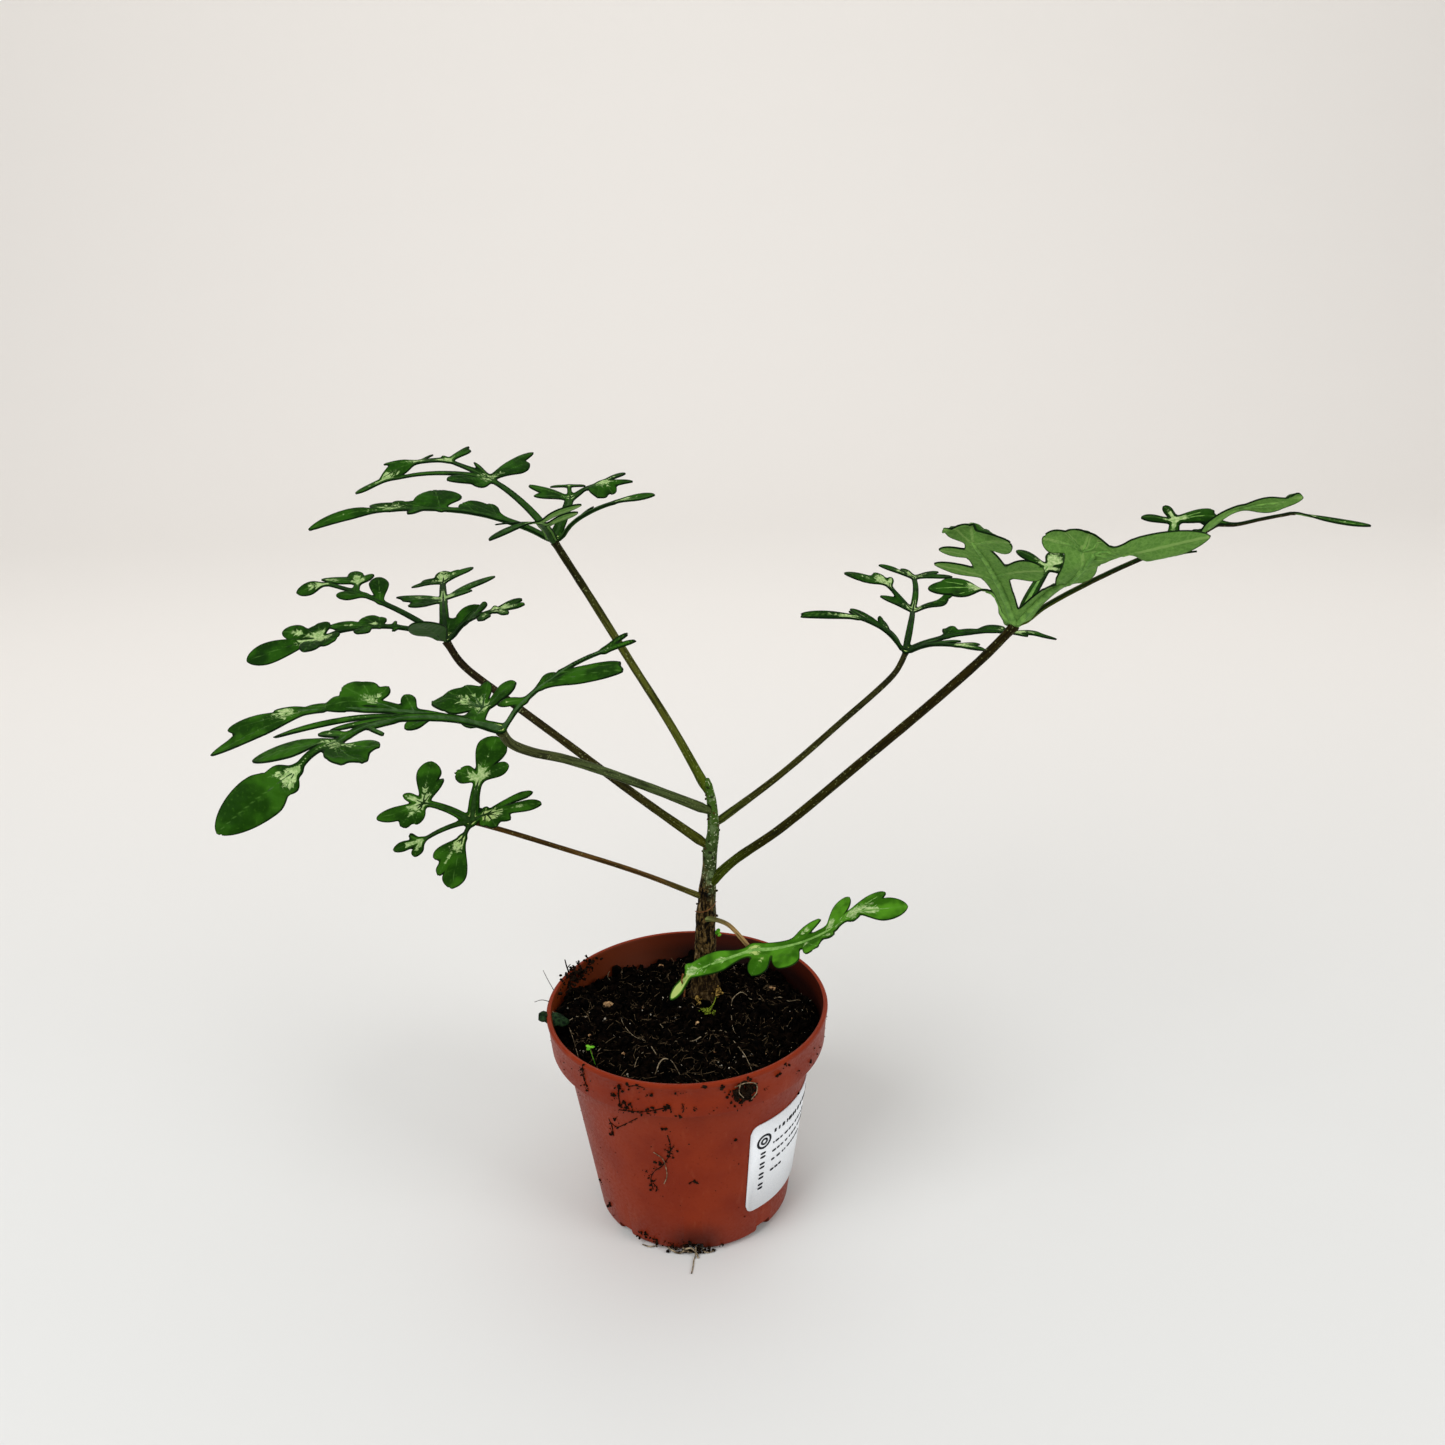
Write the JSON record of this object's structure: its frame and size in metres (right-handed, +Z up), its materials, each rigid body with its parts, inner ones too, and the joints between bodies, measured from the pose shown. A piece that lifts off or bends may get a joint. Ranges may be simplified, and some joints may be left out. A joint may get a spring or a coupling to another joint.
{
  "type": "potted plant",
  "caption": "Young caudex climber with deeply divided palmate leaves on long stalks and a short corky stem, in a small round plastic nursery pot.",
  "frame": {"origin": "centre of the pot's flat underside, on the table", "axes": "+Z up along the pot's axis; +X to the viewer's right along the longest spread of the leaves; -Y towards the viewer"},
  "size_m": [0.3277, 0.2101, 0.2429],
  "materials": {
    "pot_plastic": "satin terracotta-coloured moulded plastic",
    "label_paper": "matt white paper label",
    "potting_soil": "damp peat, loose and lumpy",
    "stem_bark": "green skin turning to fissured brown cork at the foot",
    "petiole_skin": "smooth waxy stalk",
    "leaf_blade": "soft satin leaf, pale along the veins"
  },
  "bodies": {
    "root": {"pot": "pot_plastic", "pot_label": "label_paper", "soil": "potting_soil", "stem": "stem_bark", "petiole_1": "petiole_skin", "petiole_2": "petiole_skin", "petiole_3": "petiole_skin", "petiole_4": "petiole_skin", "petiole_5": "petiole_skin", "petiole_6": "petiole_skin", "petiole_7": "petiole_skin", "blade_1": "leaf_blade", "blade_2": "leaf_blade", "blade_3": "leaf_blade", "blade_4": "leaf_blade", "blade_5": "leaf_blade", "blade_6": "leaf_blade", "blade_7": "leaf_blade"}
  },
  "joints": []
}
